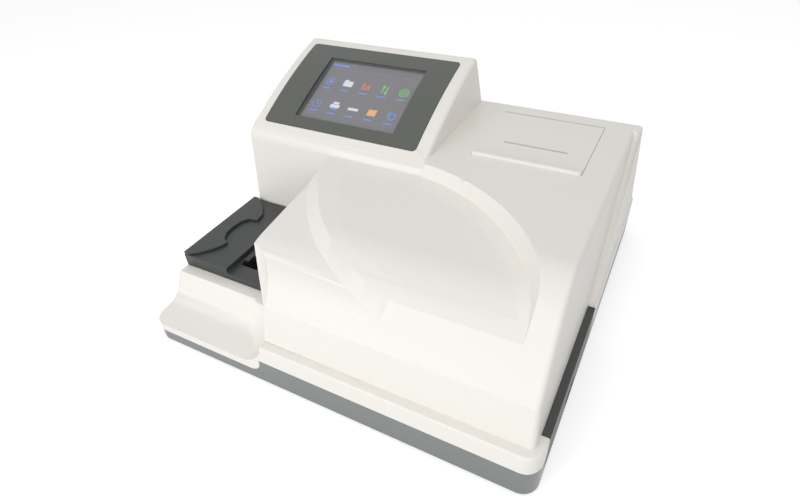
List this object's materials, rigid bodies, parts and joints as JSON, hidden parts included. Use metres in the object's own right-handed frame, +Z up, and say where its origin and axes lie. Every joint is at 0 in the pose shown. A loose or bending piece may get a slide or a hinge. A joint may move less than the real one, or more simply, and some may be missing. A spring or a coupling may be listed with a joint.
{
  "type": "urine analyzer",
  "caption": "Bench-top urine strip analyzer: white housing on a grey base, tilted touch screen, strip tray, printer door and waste drawer.",
  "frame": {"origin": "centre of the footprint on the bench, under the feet", "axes": "+X to the right seen from the front, +Y to the rear, +Z up"},
  "size_m": [0.38, 0.368, 0.1996],
  "materials": {
    "housing_white": "fine matt moulding",
    "base_grey": "fine matt moulding",
    "foot_rubber": "matt",
    "steel": "satin",
    "bezel_grey": "satin",
    "touch_glass": "clear",
    "screen": "lit colour screen",
    "board_green": "solder mask",
    "roller_rubber": "matt",
    "gear_plastic": "natural",
    "motor_steel": "satin",
    "inner_black": "matt",
    "paper": "matt",
    "tray_grey": "fine matt moulding",
    "aluminium_frame": "satin",
    "clear_film": "clear film"
  },
  "bodies": {
    "housing": {"base_chassis": "base_grey", "rubber_feet": "foot_rubber", "cover_screws": "steel", "top_cover": "housing_white", "screen_bezel": "bezel_grey", "touch_panel": "touch_glass", "lcd_module": "screen", "display_bracket": "steel", "display_board": "board_green", "display_screws": "steel", "door_hinge_pin": "steel", "printer_motor": "motor_steel", "printer_tub": "inner_black", "print_head": "steel", "printer_frame": "steel", "pusher_motor": "motor_steel", "screw_bearing": "inner_black", "drawer_runners": "inner_black", "transport_frame": "aluminium_frame", "optics_rods": "steel", "rod_brackets": "aluminium_frame", "optics_belt": "roller_rubber", "optics_motor": "motor_steel", "main_board": "board_green", "board_standoffs": "steel", "power_supply": "steel", "speaker": "inner_black", "rear_panel": "steel", "power_inlet": "inner_black", "switch_body": "inner_black", "serial_port": "steel", "usb_ports": "steel", "network_port": "steel", "label_film": "clear_film"},
    "printer_door": {"printer_door": "housing_white"},
    "platen": {"platen_roller": "roller_rubber", "platen_gear": "gear_plastic"},
    "printer_gear": {"motor_gear": "gear_plastic"},
    "paper_roll": {"paper_roll": "paper"},
    "tray": {"strip_tray": "tray_grey", "strip_guide_plate": "tray_grey", "white_reference": "paper"},
    "pusher": {"strip_pusher": "inner_black"},
    "lead_screw": {"pusher_screw": "steel"},
    "drawer": {"waste_drawer": "tray_grey"},
    "carriage": {"optics_carriage": "inner_black", "lens_tube": "inner_black", "lamp_board": "board_green"},
    "belt_drive": {"drive_pulley": "gear_plastic"},
    "belt_idler": {"idler_pulley": "gear_plastic"},
    "rocker": {"power_rocker": "inner_black"}
  },
  "joints": [
    {"name": "printer_door_hinge", "type": "hinge", "parent": "housing", "child": "printer_door", "pos_m": [0.101, 0.12, 0.1432], "axis": [-1, 0, 0], "range_deg": [0, 85]},
    {"name": "platen_spin", "type": "hinge", "parent": "printer_door", "child": "platen", "pos_m": [0.101, 0.0676, 0.1376], "axis": [1, 0, 0], "continuous": true},
    {"name": "printer_gear_spin", "type": "hinge", "parent": "housing", "child": "printer_gear", "pos_m": [0.143, 0.05391, 0.12128], "axis": [1, 0, 0], "continuous": true},
    {"name": "paper_roll_spin", "type": "hinge", "parent": "housing", "child": "paper_roll", "pos_m": [0.1015, 0.0906, 0.113], "axis": [1, 0, 0], "continuous": true},
    {"name": "tray_slide", "type": "slide", "parent": "housing", "child": "tray", "axis": [-1, 0, 0], "range_m": [0, 0.12]},
    {"name": "lead_screw_turn", "type": "hinge", "parent": "housing", "child": "lead_screw", "pos_m": [-0.097, -0.071, 0.027], "axis": [1, 0, 0], "range_deg": [0, 1079]},
    {"name": "pusher_slide", "type": "slide", "parent": "housing", "child": "pusher", "axis": [1, 0, 0], "range_m": [0, 0.06]},
    {"name": "drawer_slide", "type": "slide", "parent": "housing", "child": "drawer", "axis": [1, 0, 0], "range_m": [0, 0.1]},
    {"name": "carriage_slide", "type": "slide", "parent": "housing", "child": "carriage", "axis": [0, 1, 0], "range_m": [0, 0.08]},
    {"name": "belt_drive_turn", "type": "hinge", "parent": "housing", "child": "belt_drive", "pos_m": [0.053, -0.144, 0.081], "axis": [-1, 0, 0], "range_deg": [0, 708]},
    {"name": "belt_idler_turn", "type": "hinge", "parent": "housing", "child": "belt_idler", "pos_m": [0.053, -0.008, 0.081], "axis": [-1, 0, 0], "range_deg": [0, 708]},
    {"name": "rocker_tilt", "type": "hinge", "parent": "housing", "child": "rocker", "pos_m": [0.021, 0.16233, 0.07211], "axis": [1, 0, 0], "range_deg": [0, 16]}
  ],
  "couplings": [
    {"joint": "printer_gear_spin", "follows": "platen_spin", "ratio": -0.5},
    {"joint": "pusher_slide", "follows": "lead_screw_turn", "m_per_rad": 0.0031831},
    {"joint": "belt_drive_turn", "follows": "carriage_slide", "rad_per_m": 153.85},
    {"joint": "belt_idler_turn", "follows": "carriage_slide", "rad_per_m": 153.85}
  ]
}
